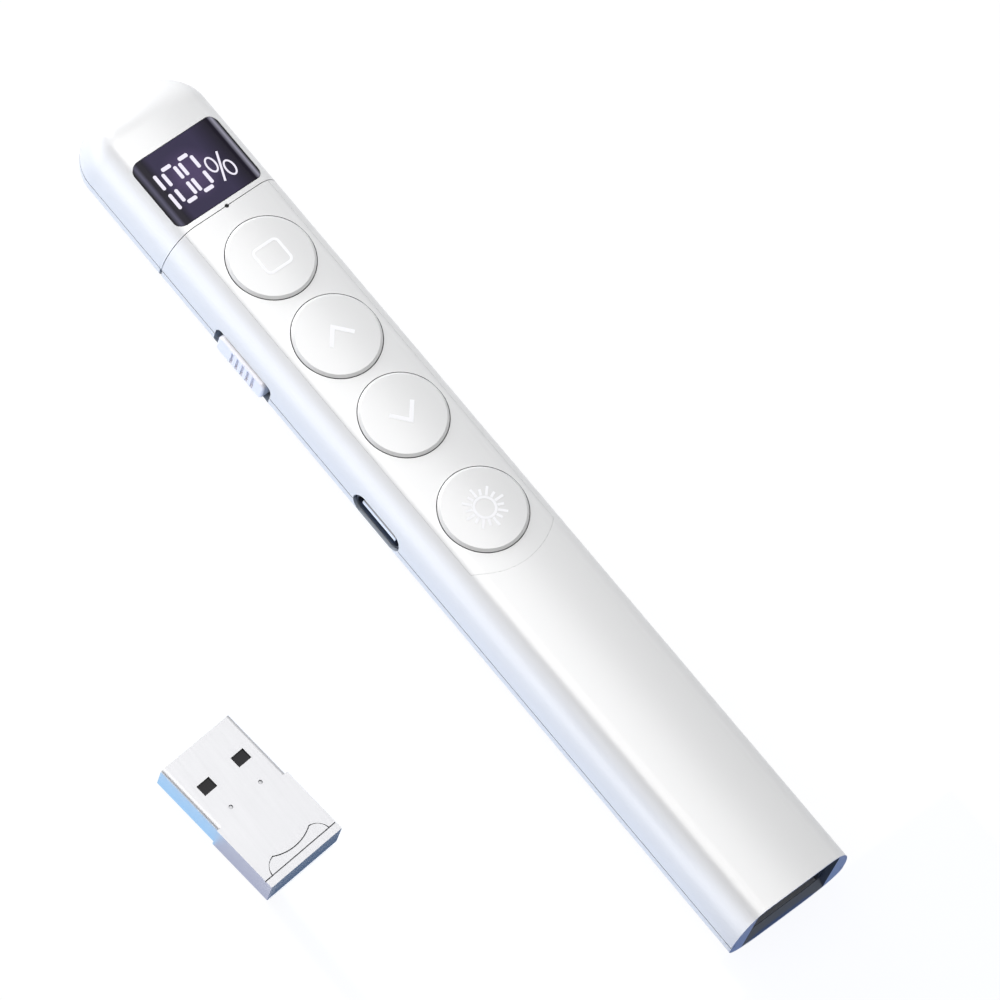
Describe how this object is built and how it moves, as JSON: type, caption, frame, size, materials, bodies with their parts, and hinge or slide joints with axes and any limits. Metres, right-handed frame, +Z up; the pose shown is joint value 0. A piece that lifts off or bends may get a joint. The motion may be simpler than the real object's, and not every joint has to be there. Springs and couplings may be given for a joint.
{
  "type": "wireless presentation clicker",
  "caption": "Slim presentation clicker with a display window, round push buttons, a side switch, a USB-C port and a storage bay for its USB receiver.",
  "frame": {"origin": "on the flat underside, half way along the clicker and on its centre line", "axes": "+X along the clicker from the nose to the open tail, +Z up through the buttons, -Y is the side with the slide switch and the USB-C port"},
  "size_m": [0.1392, 0.0637, 0.0124],
  "materials": {
    "white_shell": "satin",
    "white_panel": "satin",
    "white_button": "satin",
    "white_knob": "satin",
    "dark_window": "gloss",
    "bay_plastic": "matte",
    "red_window": "gloss",
    "circuit_board": "satin",
    "screw_steel": "satin",
    "tinned_pins": "satin",
    "dark_plastic": "matte",
    "led_body": "gloss",
    "clear_plastic": "gloss",
    "chip_resin": "matte",
    "ceramic": "matte",
    "gold_plating": "polished",
    "battery_foil": "satin",
    "foam": "matte",
    "brass_barrel": "satin",
    "receiver_metal": "satin",
    "receiver_plastic": "satin"
  },
  "bodies": {
    "clicker": {"antenna": "ceramic", "battery": "battery_foil", "battery_pad": "foam", "board_screws": "screw_steel", "bottom_shell": "white_shell", "button_panel": "white_panel", "charge_chip": "chip_resin", "crystal": "screw_steel", "display_lens": "dark_window", "display_module": "dark_plastic", "display_pins": "tinned_pins", "front_base": "white_shell", "front_cover": "white_shell", "laser_barrel": "brass_barrel", "laser_leads": "tinned_pins", "laser_lens": "clear_plastic", "laser_window": "red_window", "light_pipe": "clear_plastic", "main_board": "circuit_board", "radio_chip": "chip_resin", "receiver_bay": "bay_plastic", "slide_switch_case": "screw_steel", "snap_domes": "screw_steel", "status_led": "led_body", "tact_switch_cases": "dark_plastic", "top_shell": "white_shell", "usb_socket_contacts": "gold_plating", "usb_socket_core": "dark_plastic", "usb_socket_shell": "screw_steel"},
    "screen_key": {"screen_button": "white_button", "screen_plunger": "dark_plastic"},
    "previous_key": {"previous_button": "white_button", "previous_plunger": "dark_plastic"},
    "next_key": {"next_button": "white_button", "next_plunger": "dark_plastic"},
    "pointer_key": {"pointer_button": "white_button", "pointer_plunger": "dark_plastic"},
    "power_switch": {"switch_knob": "white_knob", "switch_slider": "dark_plastic", "switch_lever": "dark_plastic"},
    "receiver": {"receiver_shell": "receiver_metal", "receiver_grip": "receiver_plastic", "receiver_tongue": "dark_plastic", "receiver_contacts": "gold_plating", "receiver_board": "circuit_board"}
  },
  "joints": [
    {"name": "screen_press", "type": "slide", "parent": "clicker", "child": "screen_key", "axis": [0, 0, -1], "range_m": [0, 0.0003], "stiffness_N_per_m": 5000},
    {"name": "previous_press", "type": "slide", "parent": "clicker", "child": "previous_key", "axis": [0, 0, -1], "range_m": [0, 0.0003], "stiffness_N_per_m": 5000},
    {"name": "next_press", "type": "slide", "parent": "clicker", "child": "next_key", "axis": [0, 0, -1], "range_m": [0, 0.0003], "stiffness_N_per_m": 5000},
    {"name": "pointer_press", "type": "slide", "parent": "clicker", "child": "pointer_key", "axis": [0, 0, -1], "range_m": [0, 0.0003], "stiffness_N_per_m": 5000},
    {"name": "power_slide", "type": "slide", "parent": "clicker", "child": "power_switch", "axis": [1, 0, 0], "range_m": [-0.00075, 0.00075]},
    {"name": "receiver_lift", "type": "slide", "parent": "clicker", "child": "receiver", "axis": [0, 0, 1], "range_m": [0, 0.03]}
  ]
}
